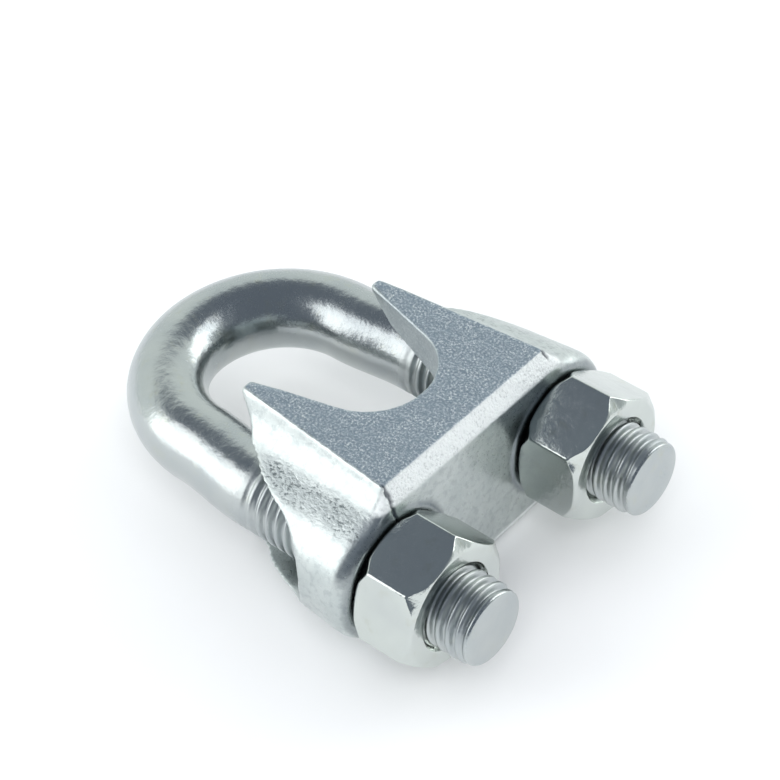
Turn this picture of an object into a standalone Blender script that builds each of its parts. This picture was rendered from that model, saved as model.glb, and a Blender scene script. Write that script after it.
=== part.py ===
"""Wire rope clip: a U-bolt, a cast saddle and two hex nuts, lying on the saddle's flat side.

+X runs along the legs towards their threaded ends, +Y across the two legs and +Z along the rope.
The origin is at the middle of the clip's footprint, on the plane that it lies on.
Lengths along X are measured from a datum 27.5 mm in from the bow's outer face.
"""
import math

import bmesh
import bpy
from mathutils import Vector

MM = 0.001

# U-bolt: a 14 mm rod bent round, threaded M14 x 2 right-handed on both legs. The bow is a little
# narrower than the leg spacing, so each leg leans outwards up to its thread.
LEG_SPACING = 41.0 * MM
ROD_RADIUS = 7.0 * MM
BOW_RADIUS = 19.1 * MM
BOW_CENTRE_X = -1.4 * MM
LEG_LENGTH = 63.0 * MM
PITCH = 2.0 * MM
THREAD_TURNS = 23
THREAD_DEPTH = 1.15 * MM
THREAD_END_RADIUS = 6.6 * MM
END_FACE_RADIUS = 6.3 * MM
END_CHAMFER = 0.5 * MM
END_COLLAR = 0.3 * MM

# Saddle: a cast block with a rope groove between two horned cheeks, and a boss round each leg.
# Each cheek leans out below the flat side, by CHEEK_LEAN for each unit of depth.
SADDLE_THICKNESS = 34.0 * MM
HORN_TIP = 8.4 * MM
HORN_TIP_HALF_WIDTH = 16.3 * MM
FLAT_EDGE = 41.0 * MM
FLAT_EDGE_HALF_WIDTH = 20.0 * MM
WEB_FACE = 42.8 * MM
WEB_HALF_THICKNESS = 13.6 * MM
CHEEK_LEAN = 0.5
FILLET_RADIUS = 9.0 * MM
BOSS_RADIUS = 13.2 * MM
BOSS_RADIUS_AT_TIP = 10.4 * MM
BOSS_FACE_RADIUS = 12.4 * MM
SEAT_RADIUS = 11.9 * MM
SEAT_CHAMFER = 0.3 * MM
SEAT_FACE = 43.2 * MM
LEG_HOLE_RADIUS = 7.7 * MM

# Rope groove, seen along the rope: a round bottom and walls that open towards the bow
GROOVE_RADIUS = 11.0 * MM
GROOVE_BOTTOM = 31.7 * MM
GROOVE_FLARE = math.radians(14.0)

# Notch that frees each leg on the bow side, seen across the legs: a round end, opening flanks
# and a wider opening that thins the horn's tip
NOTCH_RADIUS = 9.0 * MM
NOTCH_BOTTOM = 33.0 * MM
NOTCH_FLARE = math.radians(11.0)
NOTCH_TIP_START = 13.2 * MM
NOTCH_TIP_FLARE = math.radians(40.0)
NOTCH_INNER_Y = 10.0 * MM

# Hex nuts, chamfered on both faces
NUT_ACROSS_FLATS = 22.0 * MM
NUT_HEIGHT = 12.0 * MM
NUT_FACE_RADIUS = 10.6 * MM
NUT_CHAMFER_SLOPE = math.tan(math.radians(30.0))
NUT_MOUTH_RADIUS = 7.9 * MM
NUT_MOUTH_DEPTH = 0.7 * MM
FRONT_NUT_CORNER = math.radians(136.5)
REAR_NUT_CORNER = math.radians(146.0)

# Room between the screw threads, and between faces that bear on each other
THREAD_PLAY = 0.38 * MM
FACE_GAP = 0.3 * MM

# Mesh resolution
SIDES = 24
BOW_STEPS = 24
LEAN_STEPS = 6
ROWS_PER_TURN = 2
BOSS_STEPS = 14
FILLET_STEPS = 4
GROOVE_STEPS = 16
NOTCH_STEPS = 12

# How far a cutter reaches past the solid that it cuts
OVERCUT = 5.0 * MM

THREAD_END = LEG_LENGTH - END_CHAMFER - END_COLLAR
THREAD_START = THREAD_END - (THREAD_TURNS + 1) * PITCH
LEG_Y = LEG_SPACING / 2
BOLT_CENTRE_X = (LEG_LENGTH + BOW_CENTRE_X - BOW_RADIUS - ROD_RADIUS) / 2
CLIP_ORIGIN = Vector((BOLT_CENTRE_X, 0.0, -SADDLE_THICKNESS / 2))
NUT_BOW_FACE = SEAT_FACE + FACE_GAP


def clear_scene():
    for old in list(bpy.data.objects):
        bpy.data.objects.remove(old, do_unlink=True)


def make_material(name, colour, roughness, metallic):
    material = bpy.data.materials.new(name)
    material.use_nodes = True
    shader = material.node_tree.nodes["Principled BSDF"]
    shader.inputs["Base Color"].default_value = (*colour, 1.0)
    shader.inputs["Roughness"].default_value = roughness
    shader.inputs["Metallic"].default_value = metallic
    return material


def make_object(name, bm, location, material=None):
    """Turn a closed bmesh into an object; without a material it is a hidden cutter."""
    bmesh.ops.recalc_face_normals(bm, faces=bm.faces)
    mesh = bpy.data.meshes.new(name)
    bm.to_mesh(mesh)
    bm.free()
    thing = bpy.data.objects.new(name, mesh)
    thing.location = location
    bpy.context.scene.collection.objects.link(thing)
    if material is None:
        thing.hide_render = True
        thing.display_type = "WIRE"
        return thing
    mesh.materials.append(material)
    mesh.shade_smooth()
    mesh.set_sharp_from_angle(angle=math.radians(30.0))
    return thing


def bridge(bm, ring_a, ring_b):
    """Join two closed rings that have the same number of points."""
    count = len(ring_a)
    for i in range(count):
        k = (i + 1) % count
        bm.faces.new((ring_a[i], ring_a[k], ring_b[k], ring_b[i]))


def zip_columns(bm, left, right):
    """Fill the strip between a column of several points and a column of two."""
    middle = len(left) // 2
    for i in range(len(left) - 1):
        corner = right[0] if i < middle else right[1]
        bm.faces.new((left[i], left[i + 1], corner))
    bm.faces.new((left[middle], right[0], right[1]))


def turned_point(bm, x, angle, radius, axis_y=0.0):
    """A point at an angle round a line along X, measured from +Y towards +Z."""
    return bm.verts.new((x, axis_y + radius * math.cos(angle), radius * math.sin(angle)))


def turned_ring(bm, x, radius, start_angle, axis_y=0.0):
    step = math.tau / SIDES
    return [turned_point(bm, x, start_angle + i * step, radius, axis_y) for i in range(SIDES)]


def helix_band(bm, start_x, start_angle, row_count, radius_at, axis_y=0.0):
    """Rows of points along a right-hand helix, each half a pitch past the row before.

    radius_at(row, x) gives each point's distance from the axis. A row ends where the row one
    turn further on begins, so the last rows have only their first point.
    """
    rows = []
    for row in range(row_count + 1 + ROWS_PER_TURN):
        points = []
        for side in range(SIDES if row <= row_count else 1):
            x = start_x + PITCH * (row / ROWS_PER_TURN + side / SIDES)
            angle = start_angle + math.tau * side / SIDES
            points.append(turned_point(bm, x, angle, radius_at(row, x), axis_y))
        rows.append(points)
    for row in range(row_count):
        for side in range(SIDES):
            quad = (helix_vert(rows, row, side), helix_vert(rows, row, side + 1),
                    helix_vert(rows, row + 1, side + 1), helix_vert(rows, row + 1, side))
            bm.faces.new(quad)
    return rows


def helix_vert(rows, row, side):
    if side == SIDES:
        return rows[row + ROWS_PER_TURN][0]
    return rows[row][side]


def close_helix_start(bm, ring, rows):
    """Join a plain ring to the first turn of a helix band."""
    for side in range(SIDES - 1):
        bm.faces.new((ring[side], ring[side + 1], rows[0][side + 1], rows[0][side]))
    seam = [ring[0]] + [rows[row][0] for row in range(ROWS_PER_TURN + 1)]
    zip_columns(bm, seam, (ring[-1], rows[0][-1]))


def close_helix_end(bm, rows, row_count, ring):
    """Join the last turn of a helix band to a plain ring."""
    last = rows[row_count]
    for side in range(1, SIDES):
        after = helix_vert(rows, row_count, side + 1)
        bm.faces.new((last[side], after, ring[(side + 1) % SIDES], ring[side]))
    seam = [rows[row_count + i][0] for i in range(ROWS_PER_TURN + 1)] + [ring[0]]
    zip_columns(bm, seam, (last[1], ring[1]))


def ramp(value, low, high):
    """0 below low, 1 above high and straight between them."""
    return min(1.0, max(0.0, (value - low) / (high - low)))


def leaning_shank():
    """The plain part of a leg's centre line, from the bow to the thread: pairs of X and Y."""
    length = THREAD_START - PITCH / 2 - BOW_CENTRE_X
    points = []
    for step in range(LEAN_STEPS + 1):
        share = step / LEAN_STEPS
        smooth_share = share * share * (3.0 - 2.0 * share)
        y = BOW_RADIUS + (LEG_Y - BOW_RADIUS) * smooth_share
        points.append((BOW_CENTRE_X + length * share, y))
    return points


def add_leg(bm, axis_y, start_angle):
    """One leg from the bow to its chamfered end; returns the ring where it meets the bow."""
    row_count = THREAD_TURNS * ROWS_PER_TURN

    def radius_at(row, x):
        fade_in = ramp(x, THREAD_START + PITCH, THREAD_START + 2.0 * PITCH)
        fade_out = ramp(THREAD_END - x, 0.0, PITCH)
        crest = THREAD_END_RADIUS + (ROD_RADIUS - THREAD_END_RADIUS) * fade_out
        is_root = row % ROWS_PER_TURN == 1
        return crest - (THREAD_DEPTH * fade_in * fade_out if is_root else 0.0)

    shank = [turned_ring(bm, x, ROD_RADIUS, start_angle, math.copysign(y, axis_y))
             for x, y in leaning_shank()]
    for ring_a, ring_b in zip(shank, shank[1:]):
        bridge(bm, ring_a, ring_b)
    rows = helix_band(bm, THREAD_START, start_angle, row_count, radius_at, axis_y)
    close_helix_start(bm, shank[-1], rows)
    outer_ring = turned_ring(bm, LEG_LENGTH - END_CHAMFER, THREAD_END_RADIUS, start_angle, axis_y)
    close_helix_end(bm, rows, row_count, outer_ring)
    face_ring = turned_ring(bm, LEG_LENGTH, END_FACE_RADIUS, start_angle, axis_y)
    bridge(bm, outer_ring, face_ring)
    bm.faces.new(face_ring)
    return shank[0]


def make_u_bolt():
    """Two threaded legs and a half-round bow between them, as one rod."""
    bm = bmesh.new()
    front_ring = add_leg(bm, -LEG_Y, 0.0)
    rear_ring = add_leg(bm, LEG_Y, math.pi)
    bow_centre = Vector((BOW_CENTRE_X, 0.0, 0.0))
    previous = front_ring
    for step in range(1, BOW_STEPS):
        turn = math.pi * step / BOW_STEPS
        outward = Vector((-math.sin(turn), -math.cos(turn), 0.0))
        ring = []
        for side in range(SIDES):
            angle = math.tau * side / SIDES
            reach = BOW_RADIUS - ROD_RADIUS * math.cos(angle)
            rise = Vector((0.0, 0.0, ROD_RADIUS * math.sin(angle)))
            ring.append(bm.verts.new(bow_centre + outward * reach + rise))
        bridge(bm, previous, ring)
        previous = ring
    # The rear leg is the front leg turned half round, so its ring runs the other way
    bridge(bm, previous, [rear_ring[-side] for side in range(SIDES)])
    material = make_material("u_bolt_zinc", (0.66, 0.69, 0.70), 0.22, 1.0)
    return make_object("u_bolt", bm, -CLIP_ORIGIN, material)


def cheek_section(boss_radius, flat_half_width, cut_half_thickness):
    """Half of the saddle's section across X, from the top down: leaning cheek, hollow fillet and
    round boss. The cheek is cut off level at cut_half_thickness."""
    top = SADDLE_THICKNESS / 2
    lean = math.atan(CHEEK_LEAN)
    # Distance from the leg's axis to the cheek's line, and the centre of the fillet's circle
    cheek_offset = (flat_half_width - LEG_Y) * math.cos(lean) + top * math.sin(lean)
    reach = boss_radius + FILLET_RADIUS
    boss_start = lean + math.acos((cheek_offset + FILLET_RADIUS) / reach)
    centre_y = LEG_Y + reach * math.cos(boss_start)
    centre_z = reach * math.sin(boss_start)
    # Angles are those of the outward normal, from level. A deep cut takes the cheek's line away.
    start = max(lean, math.asin((centre_z - cut_half_thickness) / FILLET_RADIUS))
    corner_y = flat_half_width + CHEEK_LEAN * (top - cut_half_thickness)
    if start > lean:
        corner_y = centre_y - FILLET_RADIUS * math.cos(start)
    upper = [(corner_y, cut_half_thickness)]
    for step in range(1, FILLET_STEPS + 1):
        angle = start + (boss_start - start) * step / FILLET_STEPS
        upper.append((centre_y - FILLET_RADIUS * math.cos(angle),
                      centre_z - FILLET_RADIUS * math.sin(angle)))
    arc = []
    for step in range(1, BOSS_STEPS):
        angle = boss_start - 2 * boss_start * step / BOSS_STEPS
        arc.append((LEG_Y + boss_radius * math.cos(angle), boss_radius * math.sin(angle)))
    return upper + arc + [(y, -z) for y, z in reversed(upper)]


def section_ring(bm, x, boss_radius, flat_half_width, cut_half_thickness):
    """The saddle's whole section as a ring of points."""
    half = cheek_section(boss_radius, flat_half_width, cut_half_thickness)
    ring = [bm.verts.new((x, y, z)) for y, z in half]
    ring += [bm.verts.new((x, -y, z)) for y, z in reversed(half)]
    return ring


def saddle_block():
    """The saddle before its groove, notches and holes are cut."""
    bm = bmesh.new()
    top = SADDLE_THICKNESS / 2
    tips = section_ring(bm, HORN_TIP, BOSS_RADIUS_AT_TIP, HORN_TIP_HALF_WIDTH, top)
    flat_edge = section_ring(bm, FLAT_EDGE, BOSS_RADIUS, FLAT_EDGE_HALF_WIDTH, top)
    web_face = section_ring(bm, WEB_FACE, BOSS_FACE_RADIUS, FLAT_EDGE_HALF_WIDTH,
                            WEB_HALF_THICKNESS)
    bridge(bm, tips, flat_edge)
    bridge(bm, flat_edge, web_face)
    bm.faces.new(tips)
    bm.faces.new(web_face)
    return bm


def add_prism(bm, outline, offset):
    """A closed prism: an outline of points, and the same outline moved by offset."""
    near = [bm.verts.new(point) for point in outline]
    far = [bm.verts.new(Vector(point) + offset) for point in outline]
    bridge(bm, near, far)
    bm.faces.new(near)
    bm.faces.new(far)


def flared_outline(bottom, radius, flare, mouth, steps):
    """Half-width against X of a slot with a round bottom and straight walls that open to mouth.

    Points run from the mouth on the minus side, round the bottom, to the mouth on the plus side.
    """
    centre = bottom - radius
    reach = math.pi / 2 - flare
    touch_x = centre + radius * math.cos(reach)
    touch_w = radius * math.sin(reach)
    mouth_w = touch_w + (touch_x - mouth) * math.tan(flare)
    points = [(mouth, -mouth_w)]
    for step in range(steps + 1):
        angle = -reach + 2 * reach * step / steps
        points.append((centre + radius * math.cos(angle), radius * math.sin(angle)))
    return points + [(mouth, mouth_w)]


def groove_cutter(location):
    bm = bmesh.new()
    mouth = HORN_TIP - OVERCUT
    outline = flared_outline(GROOVE_BOTTOM, GROOVE_RADIUS, GROOVE_FLARE, mouth, GROOVE_STEPS)
    reach = SADDLE_THICKNESS / 2 + OVERCUT
    add_prism(bm, [(x, y, -reach) for x, y in outline], Vector((0, 0, 2 * reach)))
    return make_object("groove_cutter", bm, location)


def notch_outline():
    """The notch's half-height against X; its mouth opens wider along the horn's tip."""
    outline = flared_outline(NOTCH_BOTTOM, NOTCH_RADIUS, NOTCH_FLARE, NOTCH_TIP_START, NOTCH_STEPS)
    mouth = HORN_TIP - OVERCUT
    half_height = outline[-1][1] + (NOTCH_TIP_START - mouth) * math.tan(NOTCH_TIP_FLARE)
    return [(mouth, -half_height)] + outline + [(mouth, half_height)]


def notch_cutter(location):
    bm = bmesh.new()
    reach = LEG_Y + BOSS_RADIUS + OVERCUT - NOTCH_INNER_Y
    for side in (-1, 1):
        points = [(x, side * NOTCH_INNER_Y, z) for x, z in notch_outline()]
        add_prism(bm, points, Vector((0, side * reach, 0)))
    return make_object("notch_cutter", bm, location)


def leg_hole_cutter(location):
    bm = bmesh.new()
    for axis_y in (-LEG_Y, LEG_Y):
        near = turned_ring(bm, HORN_TIP - OVERCUT, LEG_HOLE_RADIUS, 0.0, axis_y)
        far = turned_ring(bm, SEAT_FACE + OVERCUT, LEG_HOLE_RADIUS, 0.0, axis_y)
        bridge(bm, near, far)
        bm.faces.new(near)
        bm.faces.new(far)
    return make_object("leg_hole_cutter", bm, location)


def seat_pads(location):
    """The two round pads that the nuts bear on; each starts inside the block."""
    bm = bmesh.new()
    for axis_y in (-LEG_Y, LEG_Y):
        rings = [turned_ring(bm, WEB_FACE - OVERCUT, SEAT_RADIUS, 0.0, axis_y),
                 turned_ring(bm, SEAT_FACE - SEAT_CHAMFER, SEAT_RADIUS, 0.0, axis_y),
                 turned_ring(bm, SEAT_FACE, SEAT_RADIUS - SEAT_CHAMFER, 0.0, axis_y)]
        bridge(bm, rings[0], rings[1])
        bridge(bm, rings[1], rings[2])
        bm.faces.new(rings[0])
        bm.faces.new(rings[2])
    return make_object("seat_pads", bm, location)


def make_saddle():
    location = -CLIP_ORIGIN
    material = make_material("saddle_cast_zinc", (0.55, 0.58, 0.60), 0.42, 1.0)
    saddle = make_object("saddle", saddle_block(), location, material)
    steps = (("pads", "UNION", seat_pads(location)),
             ("groove", "DIFFERENCE", groove_cutter(location)),
             ("notches", "DIFFERENCE", notch_cutter(location)),
             ("leg_holes", "DIFFERENCE", leg_hole_cutter(location)))
    for name, operation, tool in steps:
        modifier = saddle.modifiers.new(name, "BOOLEAN")
        modifier.operation = operation
        modifier.object = tool
        modifier.solver = "EXACT"
    return saddle


def nut_outline(bm, x_face, outward, corner_angle):
    """The nut's face edge and the wavy edge where its chamfer meets the flats."""
    face, flats = [], []
    for i in range(SIDES):
        angle = corner_angle + math.tau * i / SIDES
        from_middle = (angle - corner_angle) % (math.pi / 3) - math.pi / 6
        reach = NUT_ACROSS_FLATS / 2 / math.cos(from_middle)
        drop = (reach - NUT_FACE_RADIUS) * NUT_CHAMFER_SLOPE
        face.append(turned_point(bm, x_face, angle, NUT_FACE_RADIUS))
        flats.append(turned_point(bm, x_face - outward * drop, angle, reach))
    return face, flats


def make_nut(name, axis_y, leg_start_angle, corner_angle):
    """A hex nut whose thread is in mesh with its leg. Its origin is on the leg's axis."""
    bm = bmesh.new()
    half = NUT_HEIGHT / 2
    middle = NUT_BOW_FACE + half
    widen = 1 / math.cos(math.pi / SIDES)
    root_radius = (ROD_RADIUS + THREAD_PLAY) * widen
    crest_radius = (ROD_RADIUS - THREAD_DEPTH + THREAD_PLAY) * widen

    # The helix passes start_angle at this distance from the nut's middle, a whole pitch apart
    helix_x = THREAD_START + PITCH * (corner_angle - leg_start_angle) / math.tau - middle
    first_x = -half + NUT_MOUTH_DEPTH + PITCH / 8
    start_x = helix_x + PITCH * math.ceil((first_x - helix_x) / PITCH)
    room = half - NUT_MOUTH_DEPTH - PITCH / 8 - start_x
    row_count = int(room / PITCH * ROWS_PER_TURN) - ROWS_PER_TURN
    end_x = start_x + PITCH * row_count / ROWS_PER_TURN

    def radius_at(row, x):
        fade = min(ramp(x, start_x + PITCH, start_x + 1.5 * PITCH), ramp(end_x - x, 0.0, PITCH / 2))
        is_crest = row % ROWS_PER_TURN == 1
        return root_radius - ((root_radius - crest_radius) * fade if is_crest else 0.0)

    rows = helix_band(bm, start_x, corner_angle, row_count, radius_at)
    bow_face, bow_flats = nut_outline(bm, -half, -1, corner_angle)
    end_face, end_flats = nut_outline(bm, half, 1, corner_angle)
    bow_mouth = turned_ring(bm, -half, NUT_MOUTH_RADIUS, corner_angle)
    bow_bore = turned_ring(bm, -half + NUT_MOUTH_DEPTH, root_radius, corner_angle)
    end_bore = turned_ring(bm, half - NUT_MOUTH_DEPTH, root_radius, corner_angle)
    end_mouth = turned_ring(bm, half, NUT_MOUTH_RADIUS, corner_angle)
    close_helix_start(bm, bow_bore, rows)
    close_helix_end(bm, rows, row_count, end_bore)
    for ring_a, ring_b in ((bow_bore, bow_mouth), (bow_mouth, bow_face), (bow_face, bow_flats),
                           (bow_flats, end_flats), (end_flats, end_face), (end_face, end_mouth),
                           (end_mouth, end_bore)):
        bridge(bm, ring_a, ring_b)
    material = make_material(name + "_zinc", (0.64, 0.68, 0.67), 0.25, 1.0)
    return make_object(name, bm, Vector((middle, axis_y, 0.0)) - CLIP_ORIGIN, material)


clear_scene()
make_u_bolt()
make_saddle()
make_nut("nut_front", -LEG_Y, 0.0, FRONT_NUT_CORNER)
make_nut("nut_rear", LEG_Y, math.pi, REAR_NUT_CORNER)
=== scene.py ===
"""Finished look of the wire rope clip, built round its CAD frame.

+X runs along the legs towards their threaded ends, +Y across the two legs and +Z along the rope.
Lengths along X are measured from a datum 27.5 mm in from the bow's outer face, and heights from
the plane of the U-bolt. CLIP_ORIGIN moves them into the frame.
"""

import math

import bmesh
import bpy
import numpy as np
from mathutils import Matrix, Vector, noise


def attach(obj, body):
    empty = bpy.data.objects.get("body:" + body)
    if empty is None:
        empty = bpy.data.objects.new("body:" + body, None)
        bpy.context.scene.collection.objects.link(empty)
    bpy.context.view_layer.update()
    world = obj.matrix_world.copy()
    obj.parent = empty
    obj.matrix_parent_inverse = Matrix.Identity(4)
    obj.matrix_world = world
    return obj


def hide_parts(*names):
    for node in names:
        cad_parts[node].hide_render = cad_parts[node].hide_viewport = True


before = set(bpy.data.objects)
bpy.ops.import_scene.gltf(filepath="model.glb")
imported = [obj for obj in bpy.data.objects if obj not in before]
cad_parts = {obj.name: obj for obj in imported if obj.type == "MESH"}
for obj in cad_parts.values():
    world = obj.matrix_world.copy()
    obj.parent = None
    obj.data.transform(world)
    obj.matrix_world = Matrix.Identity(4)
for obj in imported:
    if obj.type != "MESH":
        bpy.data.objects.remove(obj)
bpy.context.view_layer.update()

MM = 0.001
MERGE_DISTANCE = 1e-6
SHORTEST_EDGE = 1e-7

# U-bolt. The thread fades in over THREAD_RUN_OUT, and out over THREAD_FADE_OUT before the end.
LEG_Y = 20.5 * MM
ROD_RADIUS = 7.0 * MM
BOW_RADIUS = 19.1 * MM
BOW_CENTRE_X = -1.4 * MM
LEG_LENGTH = 63.0 * MM
PITCH = 2.0 * MM
THREAD_START = 14.2 * MM
THREAD_DEPTH = 1.0 * MM
THREAD_RUN_OUT = 7.0 * MM
THREAD_FADE_OUT = 0.6 * PITCH
CREST_FLATNESS = 0.05
END_CREST_RADIUS = 6.62 * MM
END_ROUNDING = 0.55 * MM
END_FACE_RINGS = (4.0 * MM, 1.8 * MM)

# Saddle
SADDLE_THICKNESS = 34.0 * MM
HORN_TIP = 7.7 * MM
HORN_TIP_HALF_WIDTH = 16.8 * MM
FLAT_EDGE = 41.0 * MM
FLAT_EDGE_HALF_WIDTH = 20.0 * MM
WEB_FACE = 42.8 * MM
WEB_HALF_THICKNESS = 13.6 * MM
CHEEK_LEAN = 0.5
FILLET_RADIUS = 9.0 * MM
BOSS_RADIUS = 13.2 * MM
BOSS_RADIUS_AT_TIP = 10.4 * MM
BOSS_FACE_RADIUS = 12.4 * MM
SEAT_RADIUS = 11.9 * MM
SEAT_CHAMFER = 0.3 * MM
SEAT_FACE = 43.2 * MM
LEG_HOLE_RADIUS = 7.7 * MM
GROOVE_RADIUS = 11.0 * MM
GROOVE_BOTTOM = 31.7 * MM
GROOVE_FLARE = math.radians(14.0)
NOTCH_RADIUS = 9.0 * MM
NOTCH_BOTTOM = 33.0 * MM
NOTCH_FLARE = math.radians(11.0)
NOTCH_TIP_START = 13.2 * MM
NOTCH_TIP_FLARE = math.radians(40.0)
NOTCH_INNER_Y = 10.0 * MM
OVERCUT = 5.0 * MM

# Rounding of the casting: how far a point goes towards its neighbours' mean at each pass
SMOOTHING_PASSES = 28
SMOOTHING = 0.22
TIP_SMOOTHING = 0.45
CHEEK_SMOOTHING = 0.405
BOSS_END_SMOOTHING = 0.315
SEAT_KEPT_SHARP = 0.85

# Skin of the casting: hollows only, so that it stays inside the sharp-edged shape
LUMP_SIZE = 2.2 * MM
LUMP_DEPTH = 0.06 * MM
GRAIN_SIZE = 0.5 * MM
GRAIN_DEPTH = 0.05 * MM
GRAIN_STRETCH = 0.6
SKIN_LEVEL = 0.4
SMOOTH_SKIN = 0.15
COARSE_SKIN = 0.85
HOLLOW_SKIN = 0.6
SEAT_SKIN_LOSS = 0.8
GROOVE_ROUGHNESS = 0.35
# Share of the hollow band's pits, roughness and painted light that the rear cheek gets
REAR_HOLLOW_PITS_AND_PAINTED_LIGHT = 0.4

# Noise in the meshes: octaves, how fast they weaken, how much finer each is, and a seed's shift
NOISE_OCTAVES = 2
NOISE_FALLOFF = 0.6
NOISE_LACUNARITY = 2.0
NOISE_SHIFTS = (7.3, 3.1, 5.7)

# Folds in the casting at the two ends of the upper flat's edge
NICK_Y = 20.0 * MM
NICK_WANDER = 0.5 * MM
NICK_WANDER_SIZE = 1.6 * MM
NICK_DEPTH = 0.3 * MM
NICK_EDGE = (0.12 * MM, 0.42 * MM)
NEAR_NICK_END = 9.9 * MM
FAR_NICK_END = 14.8 * MM

# Nuts
NUT_APOTHEM = 11.0 * MM
NUT_HEIGHT = 12.0 * MM
NUT_BOW_FACE = 43.5 * MM
NUT_FACE_RADIUS = 10.6 * MM
NUT_CHAMFER_SLOPE = math.tan(math.radians(30.0))
NUT_CORNER_ROUNDING = 0.5 * MM
NUT_CORNER_DROP = 0.8 * MM
NUT_CORNER_DROP_START = 0.3
NUT_EDGE_ROUNDING = 0.55 * MM
NUT_FACE_ROUNDING = 0.12 * MM
NUT_FACE_EDGE_DROP = 0.3 * NUT_FACE_ROUNDING * NUT_CHAMFER_SLOPE
NUT_MOUTH_ROUNDING = 0.12 * MM
NUT_MOUTH_RADIUS = 7.9 * MM
NUT_MOUTH_DEPTH = 0.7 * MM
FRONT_NUT_CORNER = math.radians(136.5)
REAR_NUT_CORNER = math.radians(146.0)
THREAD_PLAY = 0.38 * MM

# Mesh resolution
ROD_SIDES = 96
BOW_STEPS = 96
LEAN_STEPS = 16
END_STEPS = 4
ROWS_PER_TURN = 12
BOSS_STEPS = 48
FILLET_STEPS = 14
NUT_FLAT_STEPS = 16
NUT_CORNER_STEPS = 4
NUT_EDGE_STEPS = 5
GROOVE_STEPS = 48
NOTCH_STEPS = 40
VOXEL = 0.25 * MM

CLIP_ORIGIN = Vector(((LEG_LENGTH + BOW_CENTRE_X - BOW_RADIUS - ROD_RADIUS) / 2, 0.0,
                      -SADDLE_THICKNESS / 2))


def smooth_step(value, low, high):
    """0 below low, 1 above high, with a soft start and end; works on numbers and arrays."""
    share = np.clip((value - low) / (high - low), 0.0, 1.0)
    return share * share * (3.0 - 2.0 * share)


def fade(value, low, high):
    """1 below low, 0 above high."""
    return 1.0 - smooth_step(value, low, high)


class Surface:
    """Collects points and faces, and turns them into one closed mesh."""

    def __init__(self):
        self.points = []
        self.faces = []

    def add_rows(self, rows, closed):
        """A sheet of quads through rows that all have the same number of points."""
        rows = np.asarray(rows)
        first = len(self.points)
        self.points.extend(map(tuple, rows.reshape(-1, 3)))
        count = rows.shape[1]
        spans = count if closed else count - 1
        for i in range(rows.shape[0] - 1):
            start = first + i * count
            for k in range(spans):
                m = (k + 1) % count
                self.faces.append((start + k, start + m, start + count + m, start + count + k))

    def add_cap(self, ring):
        """One flat face."""
        first = len(self.points)
        self.points.extend(map(tuple, ring))
        self.faces.append(tuple(range(first, first + len(ring))))

    def to_mesh(self, name):
        raw = bpy.data.meshes.new(name)
        raw.from_pydata(self.points, [], self.faces)
        bm = bmesh.new()
        bm.from_mesh(raw)
        bmesh.ops.remove_doubles(bm, verts=bm.verts, dist=MERGE_DISTANCE)
        bmesh.ops.dissolve_degenerate(bm, edges=bm.edges, dist=SHORTEST_EDGE)
        bmesh.ops.recalc_face_normals(bm, faces=bm.faces)
        bm.to_mesh(raw)
        bm.free()
        raw.shade_smooth()
        return raw


def turned(x, radius, angles, axis_y):
    """Points round a line along X, at angles from +Y towards +Z; x and radius may be arrays."""
    x = np.broadcast_to(x, angles.shape)
    return np.stack((x, axis_y + radius * np.cos(angles), radius * np.sin(angles)), axis=-1)


def groove_depth(phase):
    """Share of the thread's depth: 0 on the crest at phase 0, 1 in the root at phase 0.5."""
    from_crest = 0.5 - 0.5 * math.cos(math.tau * phase)
    return float(smooth_step(from_crest, CREST_FLATNESS, 1.0))


def thread_rows(angles, helix_x, low, high, radius_at, axis_y):
    """Rows that wind round the axis, a whole turn apart after ROWS_PER_TURN of them.

    helix_x is where a crest passes angles[0]. Rows are cut off at low and high.
    """
    turns = np.append(angles, angles[0] + math.tau)
    start = helix_x - PITCH * math.ceil((helix_x - low) / PITCH + 1.0)
    count = int((high - start) / PITCH * ROWS_PER_TURN) + 2
    rows = []
    for i in range(count):
        x = start + PITCH * (i / ROWS_PER_TURN + (turns - angles[0]) / math.tau)
        x = np.clip(x, low, high)
        rows.append(turned(x, radius_at(x, i / ROWS_PER_TURN), turns, axis_y))
    return rows


def leg_radius(x, phase):
    """Distance of the leg's surface from its axis."""
    fade_in = smooth_step(x, THREAD_START, THREAD_START + THREAD_RUN_OUT)
    end = LEG_LENGTH - END_ROUNDING
    fade_out = smooth_step(end - x, 0.0, THREAD_FADE_OUT)
    crest = END_CREST_RADIUS + (ROD_RADIUS - END_CREST_RADIUS) * smooth_step(end - x, 0.0, PITCH)
    return crest - THREAD_DEPTH * groove_depth(phase) * fade_in * fade_out


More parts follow.
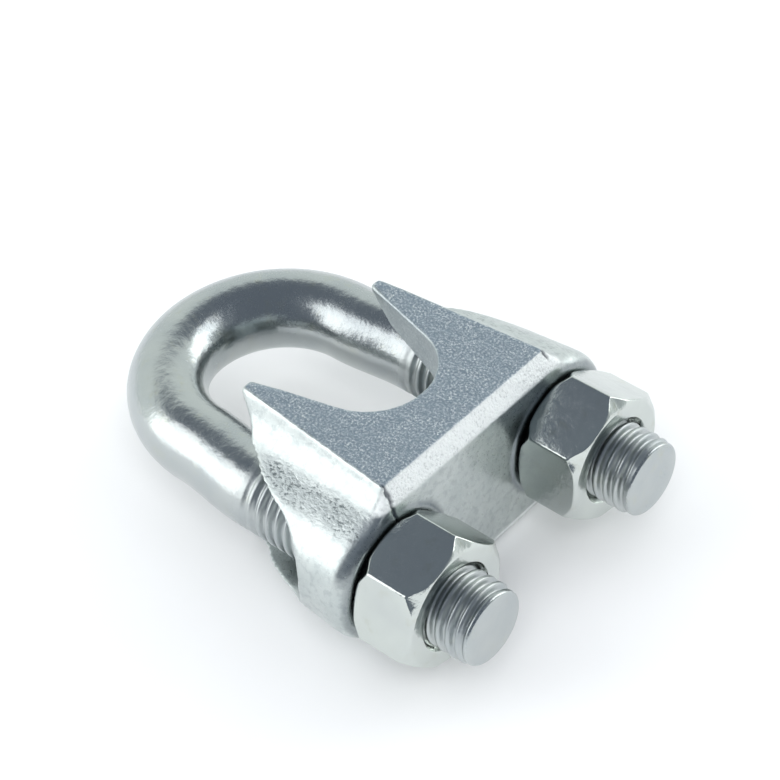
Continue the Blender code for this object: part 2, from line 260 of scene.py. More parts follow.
def u_bolt_mesh():
    """Two legs with their threads and rounded ends, and the bow between them."""
    surface = Surface()
    step = math.tau / ROD_SIDES
    for axis_y, start_angle in ((-LEG_Y, 0.0), (LEG_Y, math.pi)):
        angles = start_angle + step * np.arange(ROD_SIDES)
        shank_end = THREAD_START - PITCH / 2
        rows = []
        for i in range(LEAN_STEPS + 1):
            share = i / LEAN_STEPS
            y = BOW_RADIUS + (LEG_Y - BOW_RADIUS) * float(smooth_step(share, 0.0, 1.0))
            x = BOW_CENTRE_X + (shank_end - BOW_CENTRE_X) * share
            rows.append(turned(x, ROD_RADIUS, angles, math.copysign(y, axis_y)))
        surface.add_rows(rows, closed=True)
        end = LEG_LENGTH - END_ROUNDING
        rows = thread_rows(angles, THREAD_START, shank_end, end, leg_radius, axis_y)
        surface.add_rows(rows, closed=False)
        rows = []
        for turn in np.linspace(0.0, math.pi / 2, END_STEPS + 1):
            x = end + END_ROUNDING * math.sin(turn)
            radius = END_CREST_RADIUS - END_ROUNDING * (1.0 - math.cos(turn))
            rows.append(turned(x, radius, angles, axis_y))
        rows += [turned(LEG_LENGTH, radius, angles, axis_y) for radius in END_FACE_RINGS]
        surface.add_rows(rows, closed=True)
        surface.add_cap(rows[-1])
    rows = []
    for i in range(BOW_STEPS + 1):
        turn = math.pi * i / BOW_STEPS
        angles = step * np.arange(ROD_SIDES)
        reach = BOW_RADIUS - ROD_RADIUS * np.cos(angles)
        rows.append(np.stack((BOW_CENTRE_X - reach * math.sin(turn), -reach * math.cos(turn),
                              ROD_RADIUS * np.sin(angles)), axis=-1))
    surface.add_rows(rows, closed=True)
    mesh = surface.to_mesh("clip_u_bolt")
    x = points_of(mesh)[:, 0]
    set_mask(mesh, "thread", smooth_step(x, THREAD_START - PITCH / 2, THREAD_START + PITCH / 2)
             * fade(x, LEG_LENGTH - PITCH / 2, LEG_LENGTH))
    return mesh


def nut_angles(corner_angle):
    """Angles round the nut, close together at its six rounded corners."""
    flat_reach = math.atan((NUT_APOTHEM - NUT_CORNER_ROUNDING) * math.tan(math.pi / 6) / NUT_APOTHEM)
    turns = []
    for side in range(6):
        middle = corner_angle + math.pi / 6 + side * math.pi / 3
        turns.extend(middle + flat_reach * np.linspace(-1.0, 1.0, NUT_FLAT_STEPS + 1))
        gap = math.pi / 3 - 2 * flat_reach
        turns.extend(middle + flat_reach + gap * np.linspace(0.0, 1.0, NUT_CORNER_STEPS + 1)[1:-1])
    return np.array(turns)


def hex_reach(angles, corner_angle):
    """Distance from the nut's axis to its side at each angle."""
    from_middle = np.abs((angles - corner_angle) % (math.pi / 3) - math.pi / 6)
    inner = NUT_APOTHEM - NUT_CORNER_ROUNDING
    flat_reach = math.atan(inner * math.tan(math.pi / 6) / NUT_APOTHEM)
    on_flat = NUT_APOTHEM / np.cos(from_middle)
    from_corner = math.pi / 6 - from_middle
    centre = inner / math.cos(math.pi / 6)
    under = np.maximum(NUT_CORNER_ROUNDING**2 - (centre * np.sin(from_corner))**2, 0.0)
    on_corner = centre * np.cos(from_corner) + np.sqrt(under)
    return np.where(from_middle <= flat_reach, on_flat, on_corner)


def nut_mesh(name, axis_y, leg_start_angle, corner_angle):
    """A hex nut whose inner thread is in mesh with its leg's."""
    angles = nut_angles(corner_angle)
    reach = hex_reach(angles, corner_angle)
    corner_share = (reach - NUT_APOTHEM) / (np.max(reach) - NUT_APOTHEM)
    drop = (reach - NUT_FACE_RADIUS) * NUT_CHAMFER_SLOPE
    drop += NUT_CORNER_DROP * smooth_step(corner_share, NUT_CORNER_DROP_START, 1.0)
    major = ROD_RADIUS + THREAD_PLAY
    low = NUT_BOW_FACE + NUT_MOUTH_DEPTH
    high = NUT_BOW_FACE + NUT_HEIGHT - NUT_MOUTH_DEPTH

    def bore_radius(x, phase):
        inside = smooth_step(x, low, low + PITCH / 2) * smooth_step(high - x, 0.0, PITCH / 2)
        return major - THREAD_DEPTH * groove_depth(phase) * inside

    helix_x = THREAD_START + PITCH * (angles[0] - leg_start_angle) / math.tau
    surface = Surface()
    surface.add_rows(thread_rows(angles, helix_x, low, high, bore_radius, axis_y), closed=False)
    # Section of one end from the bore outwards: depth below the face, and radius. The arcs are
    # the bore's mouth, and the edge between the chamfer and the sides.
    section = [(NUT_MOUTH_DEPTH, major)]
    for angle in np.radians((0.0, 30.0, 60.0)):
        section.append((NUT_MOUTH_ROUNDING * (1.0 - math.sin(angle + math.pi / 6)),
                        NUT_MOUTH_RADIUS + NUT_MOUTH_ROUNDING * (1.0 - math.cos(angle))))
    section.append((0.0, NUT_MOUTH_RADIUS + 2 * NUT_MOUTH_ROUNDING))
    section.append((0.0, NUT_FACE_RADIUS - NUT_FACE_ROUNDING))
    section.append((NUT_FACE_EDGE_DROP, NUT_FACE_RADIUS))
    for angle in np.linspace(math.pi / 6, math.pi / 2, NUT_EDGE_STEPS + 1):
        section.append((drop + NUT_EDGE_ROUNDING * (NUT_CHAMFER_SLOPE - math.cos(angle)),
                        reach - NUT_EDGE_ROUNDING * (1.0 - math.sin(angle))))
    far = [turned(NUT_BOW_FACE + depth, radius, angles, axis_y) for depth, radius in section]
    near = [turned(NUT_BOW_FACE + NUT_HEIGHT - depth, radius, angles, axis_y)
            for depth, radius in section]
    surface.add_rows(far + near[::-1], closed=True)
    return surface.to_mesh(name)


def cheek_section(boss_radius, flat_half_width, cut_half_thickness):
    """Half of the saddle's section across X, from the top down: cheek, hollow fillet and boss."""
    top = SADDLE_THICKNESS / 2
    lean = math.atan(CHEEK_LEAN)
    # Distance from the leg's axis to the cheek's line, and the centre of the fillet's circle
    cheek_offset = (flat_half_width - LEG_Y) * math.cos(lean) + top * math.sin(lean)
    reach = boss_radius + FILLET_RADIUS
    boss_start = lean + math.acos((cheek_offset + FILLET_RADIUS) / reach)
    centre_y = LEG_Y + reach * math.cos(boss_start)
    centre_z = reach * math.sin(boss_start)
    # Angles are those of the outward normal, from level. A deep cut takes the cheek's line away.
    start = max(lean, math.asin((centre_z - cut_half_thickness) / FILLET_RADIUS))
    corner_y = flat_half_width + CHEEK_LEAN * (top - cut_half_thickness)
    if start > lean:
        corner_y = centre_y - FILLET_RADIUS * math.cos(start)
    upper = [(corner_y, cut_half_thickness)]
    for step in range(1, FILLET_STEPS + 1):
        angle = start + (boss_start - start) * step / FILLET_STEPS
        upper.append((centre_y - FILLET_RADIUS * math.cos(angle),
                      centre_z - FILLET_RADIUS * math.sin(angle)))
    arc = []
    for step in range(1, BOSS_STEPS):
        angle = boss_start - 2 * boss_start * step / BOSS_STEPS
        arc.append((LEG_Y + boss_radius * math.cos(angle), boss_radius * math.sin(angle)))
    return upper + arc + [(y, -z) for y, z in reversed(upper)]


def section_ring(x, boss_radius, flat_half_width, cut_half_thickness):
    """The saddle's whole section as a ring of points."""
    half = cheek_section(boss_radius, flat_half_width, cut_half_thickness)
    return [(x, y, z) for y, z in half] + [(x, -y, z) for y, z in reversed(half)]


def flared_outline(bottom, radius, flare, mouth, steps):
    """Half-width against X of a slot with a round bottom and walls that open to mouth."""
    centre = bottom - radius
    reach = math.pi / 2 - flare
    touch_x = centre + radius * math.cos(reach)
    touch_w = radius * math.sin(reach)
    mouth_w = touch_w + (touch_x - mouth) * math.tan(flare)
    arc = [(centre + radius * math.cos(a), radius * math.sin(a))
           for a in np.linspace(-reach, reach, steps + 1)]
    return [(mouth, -mouth_w)] + arc + [(mouth, mouth_w)]


def closed_object(name, *loops_list):
    """An object of closed solids, each given by its loops of points from end to end."""
    surface = Surface()
    for loops in loops_list:
        surface.add_rows(loops, closed=True)
        surface.add_cap(loops[0])
        surface.add_cap(loops[-1])
    thing = bpy.data.objects.new(name, surface.to_mesh(name))
    bpy.context.scene.collection.objects.link(thing)
    return thing


def saddle_tools():
    """The seat pads to add, and the groove, notches and leg holes to cut."""
    mouth = HORN_TIP - OVERCUT
    reach = SADDLE_THICKNESS / 2 + OVERCUT
    groove = flared_outline(GROOVE_BOTTOM, GROOVE_RADIUS, GROOVE_FLARE, mouth, GROOVE_STEPS)
    notch = flared_outline(NOTCH_BOTTOM, NOTCH_RADIUS, NOTCH_FLARE, NOTCH_TIP_START, NOTCH_STEPS)
    half = notch[-1][1] + (NOTCH_TIP_START - mouth) * math.tan(NOTCH_TIP_FLARE)
    notch = [(mouth, -half)] + notch + [(mouth, half)]
    outside = LEG_Y + BOSS_RADIUS + OVERCUT
    angles = math.tau * np.arange(ROD_SIDES) / ROD_SIDES
    pads, holes, notches = [], [], []
    for side in (-1, 1):
        axis_y = side * LEG_Y
        pads.append([turned(WEB_FACE - OVERCUT, SEAT_RADIUS, angles, axis_y),
                     turned(SEAT_FACE - SEAT_CHAMFER, SEAT_RADIUS, angles, axis_y),
                     turned(SEAT_FACE, SEAT_RADIUS - SEAT_CHAMFER, angles, axis_y)])
        holes.append([turned(mouth, LEG_HOLE_RADIUS, angles, axis_y),
                      turned(SEAT_FACE + OVERCUT, LEG_HOLE_RADIUS, angles, axis_y)])
        notches.append([[(x, side * y, z) for x, z in notch] for y in (NOTCH_INNER_Y, outside)])
    groove_loops = [[(x, y, z) for x, y in groove] for z in (-reach, reach)]
    return (("UNION", closed_object("pads", *pads)),
            ("DIFFERENCE", closed_object("groove", groove_loops)),
            ("DIFFERENCE", closed_object("notches", *notches)),
            ("DIFFERENCE", closed_object("holes", *holes)))


def evaluated_mesh(thing):
    """The object's mesh with its modifiers applied."""
    bpy.context.view_layer.update()
    graph = bpy.context.evaluated_depsgraph_get()
    return bpy.data.meshes.new_from_object(thing.evaluated_get(graph))


def saddle_solid():
    """The sharp-edged saddle as an even mesh of small quads."""
    top = SADDLE_THICKNESS / 2
    block = closed_object("block", [
        section_ring(HORN_TIP, BOSS_RADIUS_AT_TIP, HORN_TIP_HALF_WIDTH, top),
        section_ring(FLAT_EDGE, BOSS_RADIUS, FLAT_EDGE_HALF_WIDTH, top),
        section_ring(WEB_FACE, BOSS_FACE_RADIUS, FLAT_EDGE_HALF_WIDTH, WEB_HALF_THICKNESS)])
    tools = saddle_tools()
    for operation, tool in tools:
        modifier = block.modifiers.new(tool.name, "BOOLEAN")
        modifier.operation = operation
        modifier.object = tool
        modifier.solver = "EXACT"
    remesh = block.modifiers.new("even_quads", "REMESH")
    remesh.mode = "VOXEL"
    remesh.voxel_size = VOXEL
    mesh = evaluated_mesh(block)
    for thing in (block, *(tool for _, tool in tools)):
        bpy.data.objects.remove(thing, do_unlink=True)
    return mesh


def smoothed(points, edges, passes, share):
    """Points moved towards the mean of their neighbours, passes times, each by its own share."""
    count = np.bincount(edges.ravel(), minlength=len(points))[:, None]
    for _ in range(passes):
        total = np.zeros_like(points)
        for axis in range(3):
            total[:, axis] = (
                np.bincount(edges[:, 0], points[edges[:, 1], axis], len(points))
                + np.bincount(edges[:, 1], points[edges[:, 0], axis], len(points)))
        points = points + share * (total / count - points)
    return points


def normals_of(mesh):
    """The normals of the mesh's points, one row each."""
    normals = np.empty(len(mesh.vertices) * 3)
    mesh.vertex_normals.foreach_get("vector", normals)
    return normals.reshape(-1, 3)


def points_of(mesh):
    """The places of the mesh's points, one row each."""
    points = np.empty(len(mesh.vertices) * 3)
    mesh.vertices.foreach_get("co", points)
    return points.reshape(-1, 3)


def noise_at(points, size, seed):
    """Smooth noise of about -1 to 1 with features of the given size."""
    shift = Vector([seed * step for step in NOISE_SHIFTS])
    scaled = points / size
    return np.array([noise.fractal(Vector(p) + shift, NOISE_FALLOFF, NOISE_LACUNARITY, NOISE_OCTAVES)
                     for p in scaled])


def set_mask(mesh, name, values):
    """Stores a value from 0 to 1 at each point, for the material to read."""
    layer = mesh.attributes.new(name, "FLOAT", "POINT")
    layer.data.foreach_set("value", np.clip(values, 0.0, 1.0).astype(np.float32))


def near_seat(points):
    """1 on the seats that the nuts bear on, which stay flat."""
    x, y, z = points.T
    from_leg = np.hypot(np.abs(y) - LEG_Y, z)
    return (smooth_step(x, WEB_FACE - 0.8 * MM, WEB_FACE - 0.2 * MM)
            * fade(from_leg, SEAT_RADIUS, SEAT_RADIUS + 0.7 * MM))


def rounded_points(mesh, on_seat):
    """The mesh's points with its edges rounded, most at the horns' tips and along the notches."""
    points = points_of(mesh)
    edges = np.empty(len(mesh.edges) * 2, dtype=np.int64)
    mesh.edges.foreach_get("vertices", edges)
    x, y, z = points.T
    width, height = np.abs(y), np.abs(z)
    at_tip = fade(x, HORN_TIP + 1.0 * MM, HORN_TIP + 6.0 * MM)
    at_boss_end = (smooth_step(x, FLAT_EDGE - 3.0 * MM, FLAT_EDGE)
                   * smooth_step(width, LEG_Y + 6.0 * MM, LEG_Y + 10.0 * MM))
    on_cheek = (smooth_step(width, NOTCH_INNER_Y + 1.0 * MM, NOTCH_INNER_Y + 3.0 * MM)
                * fade(height, 14.5 * MM, 16.2 * MM))
    share = SMOOTHING + np.maximum.reduce((TIP_SMOOTHING * at_tip, CHEEK_SMOOTHING * on_cheek,
                                           BOSS_END_SMOOTHING * at_boss_end))
    share *= 1.0 - SEAT_KEPT_SHARP * on_seat
    return smoothed(points, edges.reshape(-1, 2), SMOOTHING_PASSES, share[:, None])


def casting_nick(points):
    """Folds that run down from the corners of the upper flat: a long one near, a short one far."""
    x, y, z = points.T
    wander = NICK_WANDER * (noise_at(points, NICK_WANDER_SIZE, 3) - 0.5)
    end = np.where(y < 0.0, NEAR_NICK_END, FAR_NICK_END)
    return (fade(np.abs(np.abs(y) - NICK_Y - wander), *NICK_EDGE)
            * smooth_step(x, FLAT_EDGE - 0.8 * MM, FLAT_EDGE - 0.2 * MM)
            * smooth_step(z, end, end + 1.0 * MM))


def casting_masks(points, normals):
    """Where the saddle's skin differs, and where shade and light are painted on: each mask is 1 on its
    area and 0 elsewhere.
    """
    x, y, z = points.T
    width, height = np.abs(y), np.abs(z)
    toward_nuts, upright = normals[:, 0], np.abs(normals[:, 2])
    bevel = (smooth_step(x, FLAT_EDGE - 0.4 * MM, FLAT_EDGE + 0.3 * MM)
             * smooth_step(height, WEB_HALF_THICKNESS - 0.6 * MM, WEB_HALF_THICKNESS + 0.2 * MM))
    web = (smooth_step(toward_nuts, 0.9, 0.98)
           * smooth_step(x, WEB_FACE - 1.3 * MM, WEB_FACE - 0.5 * MM))
    side = (smooth_step(width, 14.5 * MM, 16.0 * MM)
            * smooth_step(np.sign(y) * normals[:, 1], 0.15, 0.35)
            * fade(np.abs(toward_nuts), 0.6, 0.8))
    flat = smooth_step(upright, 0.9, 0.97) * smooth_step(height, 15.5 * MM, 16.4 * MM)
    groove = fade(width, 13.0 * MM, 15.0 * MM)
    # This band carries real pits, and also painted light: a pale colour where it would mirror the dim
    # room overhead
    hollow = (side * smooth_step(upright, 0.74, 0.92)
              * smooth_step(x, HORN_TIP + 6.0 * MM, HORN_TIP + 12.0 * MM)
              * np.where(y < 0.0, 1.0, REAR_HOLLOW_PITS_AND_PAINTED_LIGHT))
    from_leg = np.hypot(width - LEG_Y, z)
    return {
        "rough": np.maximum(flat, GROOVE_ROUGHNESS * groove * (1.0 - np.maximum(web, bevel))),
        "bevel": bevel,
        "web": web,
        "hollow": hollow,
        # Painted shade: a dark ring on the web round each nut's seat, where the nut shades it
        "painted_seat_shade": (smooth_step(x, WEB_FACE - 0.8 * MM, WEB_FACE - 0.3 * MM)
                 * fade(from_leg, SEAT_RADIUS, SEAT_RADIUS + 1.1 * MM)),
        "nick": casting_nick(points),
    }


def skin_height(points, masks, on_seat):
    """How far the skin lies above the rounded surface; never more than 0."""
    lumps = noise_at(points, LUMP_SIZE, 1)
    grains = noise_at(points * np.array((GRAIN_STRETCH, 1.0, 1.0)), GRAIN_SIZE, 2)
    height = np.minimum(LUMP_DEPTH * (lumps - SKIN_LEVEL) + GRAIN_DEPTH * (grains - SKIN_LEVEL), 0.0)
    coarse = np.maximum(masks["rough"], masks["bevel"])
    share = SMOOTH_SKIN + COARSE_SKIN * coarse + HOLLOW_SKIN * masks["hollow"]
    height *= share * (1.0 - SEAT_SKIN_LOSS * on_seat)
    return height - NICK_DEPTH * masks["nick"]


def saddle_mesh():
    """The saddle with the rounded edges and rough skin of a sand casting, and its shading masks."""
    mesh = saddle_solid()
    mesh.name = "clip_saddle"
    on_seat = near_seat(points_of(mesh))
    points = rounded_points(mesh, on_seat)
    mesh.vertices.foreach_set("co", points.ravel())
    mesh.update()
    normals = normals_of(mesh)
    masks = casting_masks(points, normals)
    for name, mask in masks.items():
        set_mask(mesh, name, mask)
    skin = points + normals * skin_height(points, masks, on_seat)[:, None]
    mesh.vertices.foreach_set("co", skin.ravel())
    mesh.update()
    mesh.shade_smooth()
    return mesh


# Plating on the rod, on the nuts and on the casting: colours, with painted shade and light on the
# casting, roughness and relief
ROD_PALE = (0.50, 0.53, 0.525)
ROD_DULL = (0.45, 0.485, 0.495)
ROD_ROUGHNESS = (0.17, 0.30)
NUT_PALE = (0.62, 0.66, 0.63)
NUT_DULL = (0.565, 0.60, 0.585)
NUT_ROUGHNESS = (0.11, 0.22)
STAIN_COLOUR = (0.50, 0.515, 0.44)
CAST_PALE = (0.60, 0.64, 0.63)
CAST_DULL = (0.52, 0.565, 0.56)
CAST_MOTTLE = (0.36, 0.40, 0.41)
# Painted light: the cheek's hollow band is painted pale so that it does not go dark where it mirrors
# the dim room overhead
CAST_HOLLOW_PAINTED_LIGHT = (0.88, 0.92, 0.92)
CAST_FLAT = (0.355, 0.43, 0.51)
CAST_BEVEL = (0.95, 0.98, 0.97)
CAST_SPARKLE = (0.97, 1.0, 1.0)
CAST_PIT = (0.09, 0.12, 0.13)
# Painted shade on the web round the nuts' seats, where the nuts shade it
CAST_SEAT_SHADE = (0.13, 0.15, 0.17)
CAST_FOLD = (0.06, 0.07, 0.09)
RIPPLE_DEPTH = 0.085 * MM
BRIGHT_GRAIN_DEPTH = 0.018 * MM
CAST_RIPPLE_DEPTH = 0.08 * MM
SAND_DEPTH = 0.11 * MM
PIT_DEPTH = 0.12 * MM


class Nodes:
    """A short way to write a material's node tree."""

    def __init__(self, name):
        self.material = bpy.data.materials.new(name)
        self.material.use_nodes = True
        self.tree = self.material.node_tree
        self.shader = self.tree.nodes["Principled BSDF"]

    def link(self, source, socket):
        self.tree.links.new(source, socket)

    def add(self, kind, inputs=None, **settings):
        node = self.tree.nodes.new("ShaderNode" + kind)
        for key, value in settings.items():
            setattr(node, key, value)
        for key, value in (inputs or {}).items():
            if isinstance(value, bpy.types.NodeSocket):
                self.link(value, node.inputs[key])
            else:
                node.inputs[key].default_value = value
        return node

    def place(self):
        """Coordinates in millimetres that stay with the piece."""
        where = self.add("TexCoord").outputs["Object"]
        return self.add("VectorMath", {0: where, "Scale": 1 / MM}, operation="SCALE").outputs[0]

    def noise(self, where, scale, detail=3.0, roughness=0.5):
        return self.add("TexNoise", {"Vector": where, "Scale": scale, "Detail": detail,
                                     "Roughness": roughness}).outputs["Fac"]

    def map(self, value, low, high, to_low=0.0, to_high=1.0):
        return self.add("MapRange", {"Value": value, "From Min": low, "From Max": high,
                                     "To Min": to_low, "To Max": to_high}).outputs["Result"]

    def math(self, operation, a, b):
        return self.add("Math", {0: a, 1: b}, operation=operation).outputs[0]

    def mask(self, name):
        return self.add("Attribute", attribute_name=name).outputs["Fac"]

    def mix_colour(self, share, a, b):
        node = self.add("Mix", data_type="RGBA")
        for socket, value in ((node.inputs["Factor"], share), (node.inputs[6], a), (node.inputs[7], b)):
            if isinstance(value, bpy.types.NodeSocket):
                self.link(value, socket)
            elif socket.type == "RGBA":
                socket.default_value = (*value, 1.0)
            else:
                socket.default_value = value
        return node.outputs[2]

    def bump(self, height, distance, strength=1.0, normal=None):
        """Bump from a height of 0 to 1, distance in metres."""
        inputs = {"Height": height, "Distance": distance, "Strength": strength}
        if normal is not None:
            inputs["Normal"] = normal
        return self.add("Bump", inputs).outputs["Normal"]

    def finish(self, colour, roughness, normal, metallic=None):
        self.shader.inputs["Metallic"].default_value = 1.0
        if metallic is not None:
            self.link(metallic, self.shader.inputs["Metallic"])
        self.link(colour, self.shader.inputs["Base Color"])
        self.link(roughness, self.shader.inputs["Roughness"])
        self.link(normal, self.shader.inputs["Normal"])
        return self.material


def bright_zinc(name, pale, dull, roughness_range):
    """Clear-passivated zinc plating on drawn or forged steel."""
    nodes = Nodes(name)
    where = nodes.place()
    clouds = nodes.noise(where, 0.11, detail=2.0)
    grain = nodes.noise(where, 2.6, detail=4.0, roughness=0.6)
    ripple = nodes.noise(where, 0.55, detail=2.0)
    stains = nodes.map(nodes.noise(where, 0.3, detail=5.0, roughness=0.7), 0.56, 0.72)
    colour = nodes.mix_colour(nodes.map(clouds, 0.35, 0.65), pale, dull)
    colour = nodes.mix_colour(nodes.math("MULTIPLY", stains, 0.5), colour, STAIN_COLOUR)
    mixed = nodes.math("ADD", nodes.math("MULTIPLY", grain, 0.6), nodes.math("MULTIPLY", clouds, 0.4))
    roughness = nodes.map(mixed, 0.3, 0.7, *roughness_range)
    roughness = nodes.math("ADD", roughness, nodes.math("MULTIPLY", nodes.mask("thread"), 0.14))
    normal = nodes.bump(ripple, RIPPLE_DEPTH)
    normal = nodes.bump(grain, BRIGHT_GRAIN_DEPTH, normal=normal)
    return nodes.finish(colour, roughness, normal)


def cast_zinc(name):
    """Zinc plating over the grained skin of a sand casting."""
    nodes = Nodes(name)
    where = nodes.place()
    rough, bevel, web, hollow, painted_seat_shade, nick = (nodes.mask(key) for key in
                                             ("rough", "bevel", "web", "hollow", "painted_seat_shade", "nick"))
    streaks = nodes.add("VectorMath", {0: where, 1: (0.55, 1.0, 1.0)}, operation="MULTIPLY").outputs[0]
    sand = nodes.noise(where, 2.5, detail=4.0, roughness=0.7)
    pits = nodes.noise(streaks, 2.3, detail=3.0, roughness=0.6)
    clouds = nodes.noise(where, 0.16, detail=3.0)
    fleck = nodes.map(sand, 0.48, 0.65)
    base = nodes.mix_colour(nodes.map(clouds, 0.35, 0.65), CAST_PALE, CAST_DULL)
    mottle = nodes.map(nodes.noise(where, 0.75, detail=4.0, roughness=0.65), 0.50, 0.62)
    base = nodes.mix_colour(nodes.math("MULTIPLY", mottle, 0.42), base, CAST_MOTTLE)
    # Painted light: the hollow band is painted pale to offset its dark reflection of the room overhead
    base = nodes.mix_colour(nodes.math("MULTIPLY", hollow, 0.6), base, CAST_HOLLOW_PAINTED_LIGHT)
    colour = nodes.mix_colour(nodes.math("MULTIPLY", rough, 0.9), base, CAST_FLAT)
    colour = nodes.mix_colour(nodes.math("MULTIPLY", bevel, 0.9), colour, CAST_BEVEL)
    patches = nodes.map(nodes.noise(where, 0.32, detail=3.0), 0.38, 0.62, 0.6, 1.0)
    flecked = nodes.math("MULTIPLY", nodes.math("MULTIPLY", rough, fleck), patches)
    colour = nodes.mix_colour(flecked, colour, CAST_SPARKLE)
    clusters = nodes.map(nodes.noise(streaks, 0.42, detail=2.0), 0.43, 0.57, 0.15, 1.0)
    dark_fleck = nodes.math("MULTIPLY", nodes.math("MULTIPLY", nodes.map(pits, 0.465, 0.405), clusters),
                            nodes.math("ADD", nodes.math("MULTIPLY", hollow, 0.8),
                                       nodes.math("MULTIPLY", bevel, 0.25)))
    colour = nodes.mix_colour(dark_fleck, colour, CAST_PIT)
    # Painted shade: a dark ring round each nut's seat
    colour = nodes.mix_colour(nodes.math("MULTIPLY", painted_seat_shade, 0.55), colour, CAST_SEAT_SHADE)
    colour = nodes.mix_colour(nodes.math("MULTIPLY", nick, 0.85), colour, CAST_FOLD)
    grained = nodes.math("MAXIMUM", rough, nodes.math("MAXIMUM", nodes.math("MULTIPLY", bevel, 0.7),
                                                      nodes.math("MULTIPLY", hollow, 0.75)))
    smooth_roughness = nodes.map(sand, 0.35, 0.65, 0.26, 0.36)
    rough_roughness = nodes.map(sand, 0.35, 0.65, 0.66, 0.46)
    roughness = nodes.add("MapRange", {"Value": grained, "To Min": smooth_roughness,
                                       "To Max": rough_roughness}).outputs["Result"]
    strength = nodes.math("ADD", nodes.map(web, 0.0, 1.0, 0.28, 0.10),
                          nodes.math("MULTIPLY", grained, 0.9))
    normal = nodes.bump(nodes.noise(where, 0.45, detail=2.0), CAST_RIPPLE_DEPTH, 0.6)
    normal = nodes.bump(sand, nodes.math("MULTIPLY", strength, SAND_DEPTH), normal=normal)
    crinkle = nodes.math("MAXIMUM", hollow, nodes.math("MULTIPLY", bevel, 2.2))
    normal = nodes.bump(pits, nodes.math("MULTIPLY", crinkle, PIT_DEPTH), normal=normal)
    metallic = nodes.map(bevel, 0.0, 1.0, 1.0, 0.3)
    return nodes.finish(colour, roughness, normal, metallic)


def add_piece(mesh, body, node, material):
    """Moves the mesh into the frame, and lets it ride on its body in place of its CAD node."""
    mesh.transform(Matrix.Translation(-CLIP_ORIGIN))
    mesh.materials.clear()
    mesh.materials.append(material)
    piece = bpy.data.objects.new(mesh.name, mesh)
    bpy.context.scene.collection.objects.link(piece)
    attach(piece, body)
    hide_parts(node)


def build_clip():
    """The four pieces, each on the body of its CAD node."""
    rod = bright_zinc("zinc_on_drawn_steel", ROD_PALE, ROD_DULL, ROD_ROUGHNESS)
    nut = bright_zinc("zinc_on_forged_steel", NUT_PALE, NUT_DULL, NUT_ROUGHNESS)
    add_piece(u_bolt_mesh(), "u_bolt", "u_bolt", rod)
    add_piece(saddle_mesh(), "saddle", "saddle", cast_zinc("zinc_on_cast_iron"))
    front = nut_mesh("clip_nut_front", -LEG_Y, 0.0, FRONT_NUT_CORNER)
    rear = nut_mesh("clip_nut_rear", LEG_Y, math.pi, REAR_NUT_CORNER)
    add_piece(front, "nut_front", "nut_front", nut)
    add_piece(rear, "nut_rear", "nut_rear", nut)


# Camera and studio
CAMERA_PLACE = Vector((0.21553, -0.21743, 0.31527))
CAMERA_AZIMUTH = math.radians(43.79)
CAMERA_ELEVATION = math.radians(43.40)
CAMERA_ROLL = math.radians(-4.05)
CAMERA_LENS = 117.5
SENSOR_WIDTH = 36.0
CAMERA_CLIP = (0.01, 20.0)
FLOOR_SIZE = 3.0
CARD_DISTANCE = 1.2
HORIZON_COLOUR = (0.93, 0.99, 0.97)
HORIZON_RISE = 0.24
ROOM_COLOUR = (0.18, 0.208, 0.25)
HORIZON_TOP = math.radians(31.0)
ROOM_START = math.radians(43.0)
SIDE_START = -0.2
SIDE_END = 0.5
LEFT_WINDOW = {"azimuth": -131.0, "elevation": 28.0, "roll": 0.0, "width": 0.80, "height": 1.22,
               "strength": 1.7}
RIGHT_WINDOW = {"azimuth": 64.0, "elevation": 28.0, "roll": 25.0, "width": 0.62, "height": 1.15,
                "strength": 1.8}
OVERHEAD_PLACE = Vector((0.0, 0.0, 1.5))
OVERHEAD_SIZE = 2.4
OVERHEAD_POWER = 12.0
FILL_PLACE = 4.0 * CAMERA_PLACE
FILL_SIZE = 1.2
FILL_POWER = 12.5


def make_camera():
    """The camera, as fitted to the photo."""
    back = Vector((math.sin(CAMERA_AZIMUTH) * math.cos(CAMERA_ELEVATION),
                   -math.cos(CAMERA_AZIMUTH) * math.cos(CAMERA_ELEVATION),
                   math.sin(CAMERA_ELEVATION)))
    right = Vector((math.cos(CAMERA_AZIMUTH), math.sin(CAMERA_AZIMUTH), 0.0))
    level = Matrix((right, back.cross(right), back)).transposed()
    data = bpy.data.cameras.new("camera")
    data.sensor_width = SENSOR_WIDTH
    data.lens = CAMERA_LENS
    data.clip_start = CAMERA_CLIP[0]
    data.clip_end = CAMERA_CLIP[1]
    camera = bpy.data.objects.new("camera", data)
    turn = level @ Matrix.Rotation(CAMERA_ROLL, 3, "Z")
    camera.matrix_world = Matrix.Translation(CAMERA_PLACE) @ turn.to_4x4()
    bpy.context.scene.collection.objects.link(camera)
    bpy.context.scene.camera = camera


def make_floor():
    """A pale matt table that the clip lies on."""
    nodes = Nodes("pale_floor")
    where = nodes.place()
    tone = nodes.map(nodes.noise(where, 0.02, detail=2.0), 0.3, 0.7)
    colour = nodes.mix_colour(tone, (0.93, 0.93, 0.93), (0.95, 0.95, 0.95))
    nodes.link(colour, nodes.shader.inputs["Base Color"])
    nodes.shader.inputs["Roughness"].default_value = 0.9
    nodes.shader.inputs["Specular IOR Level"].default_value = 0.2
    surface = Surface()
    half = FLOOR_SIZE / 2
    surface.add_cap([(-half, -half, 0.0), (half, -half, 0.0), (half, half, 0.0), (-half, half, 0.0)])
    mesh = surface.to_mesh("floor")
    mesh.materials.append(nodes.material)
    floor = bpy.data.objects.new("floor", mesh)
    bpy.context.scene.collection.objects.link(floor)


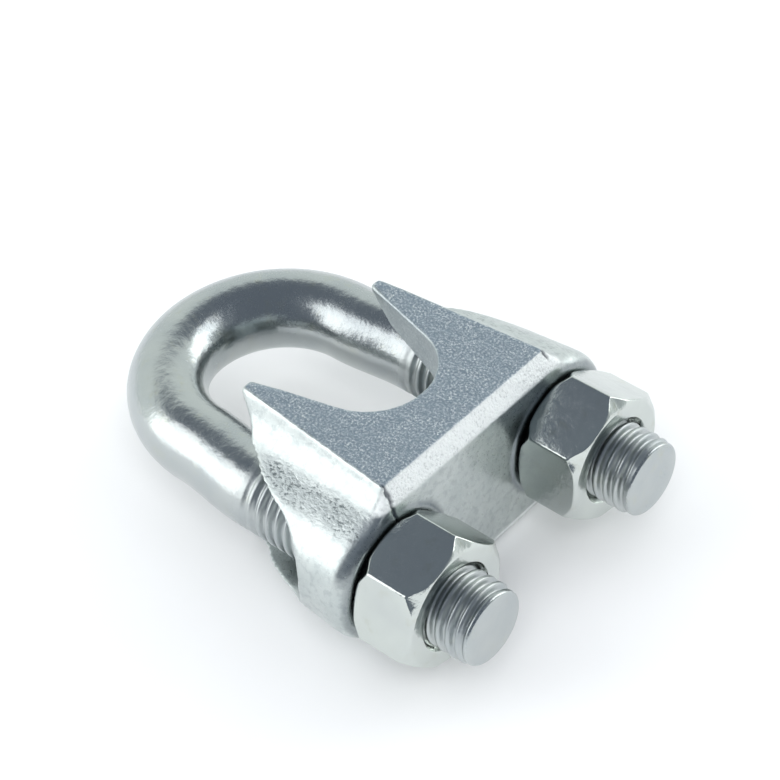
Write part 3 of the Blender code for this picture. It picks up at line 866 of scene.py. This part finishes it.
def make_sky():
    """The room: pale near the horizon behind the clip, dim overhead and behind the camera."""
    world = bpy.data.worlds.new("room")
    world.use_nodes = True
    tree = world.node_tree
    where = tree.nodes.new("ShaderNodeTexCoord").outputs["Generated"]
    split = tree.nodes.new("ShaderNodeSeparateXYZ")
    ramp = tree.nodes.new("ShaderNodeValToRGB")
    ramp.color_ramp.interpolation = "EASE"
    ramp.color_ramp.elements[0].position = math.sin(HORIZON_TOP)
    ramp.color_ramp.elements[0].color = (*HORIZON_COLOUR, 1.0)
    ramp.color_ramp.elements[1].position = math.sin(ROOM_START)
    ramp.color_ramp.elements[1].color = (*ROOM_COLOUR, 1.0)
    side = tree.nodes.new("ShaderNodeVectorMath")
    side.operation = "DOT_PRODUCT"
    side.inputs[1].default_value = (math.sin(CAMERA_AZIMUTH), -math.cos(CAMERA_AZIMUTH), 0.0)
    behind = tree.nodes.new("ShaderNodeMapRange")
    behind.inputs["From Min"].default_value = SIDE_START
    behind.inputs["From Max"].default_value = SIDE_END
    # The pale part reaches higher straight behind the clip than at its sides
    rise = tree.nodes.new("ShaderNodeMath")
    rise.operation = "MULTIPLY_ADD"
    rise.inputs[1].default_value = HORIZON_RISE
    away = tree.nodes.new("ShaderNodeMath")
    away.operation = "ADD"
    away.inputs[1].default_value = -SIDE_START
    only_behind = tree.nodes.new("ShaderNodeMath")
    only_behind.operation = "MINIMUM"
    only_behind.inputs[1].default_value = 0.0
    mix = tree.nodes.new("ShaderNodeMix")
    mix.data_type = "RGBA"
    mix.inputs[7].default_value = (*ROOM_COLOUR, 1.0)
    tree.links.new(where, split.inputs[0])
    tree.links.new(where, side.inputs[0])
    tree.links.new(side.outputs["Value"], away.inputs[0])
    tree.links.new(away.outputs[0], only_behind.inputs[0])
    tree.links.new(only_behind.outputs[0], rise.inputs[0])
    tree.links.new(split.outputs["Z"], rise.inputs[2])
    tree.links.new(rise.outputs[0], ramp.inputs[0])
    tree.links.new(side.outputs["Value"], behind.inputs["Value"])
    tree.links.new(behind.outputs["Result"], mix.inputs["Factor"])
    tree.links.new(ramp.outputs[0], mix.inputs[6])
    tree.links.new(mix.outputs[2], tree.nodes["Background"].inputs["Color"])
    bpy.context.scene.world = world


def add_card(name, azimuth, elevation, roll, width, height, strength):
    """A light card that faces the clip, CARD_DISTANCE away; azimuth runs from +X towards +Y."""
    a = math.radians(azimuth)
    e = math.radians(elevation)
    away = Vector((math.cos(a) * math.cos(e), math.sin(a) * math.cos(e), math.sin(e)))
    data = bpy.data.lights.new(name, "AREA")
    data.shape = "RECTANGLE"
    data.size = width
    data.size_y = height
    data.energy = strength * width * height * math.pi
    light = bpy.data.objects.new(name, data)
    turn = away.to_track_quat("Z", "Y").to_matrix().to_4x4()
    turn = turn @ Matrix.Rotation(math.radians(roll), 4, "Z")
    light.matrix_world = Matrix.Translation(away * CARD_DISTANCE) @ turn
    bpy.context.scene.collection.objects.link(light)


def add_light(name, place, size, power):
    """A round lamp that faces the clip, and that the plating doesn't mirror."""
    data = bpy.data.lights.new(name, "AREA")
    data.shape = "DISK"
    data.size = size
    data.energy = power
    light = bpy.data.objects.new(name, data)
    turn = place.to_track_quat("Z", "Y").to_matrix().to_4x4()
    light.matrix_world = Matrix.Translation(place) @ turn
    light.visible_glossy = False
    bpy.context.scene.collection.objects.link(light)


build_clip()
make_camera()
make_floor()
make_sky()
add_card("left_window", **LEFT_WINDOW)
add_card("right_window", **RIGHT_WINDOW)
add_light("overhead", OVERHEAD_PLACE, OVERHEAD_SIZE, OVERHEAD_POWER)
add_light("fill", FILL_PLACE, FILL_SIZE, FILL_POWER)
bpy.context.scene.view_settings.view_transform = "Standard"
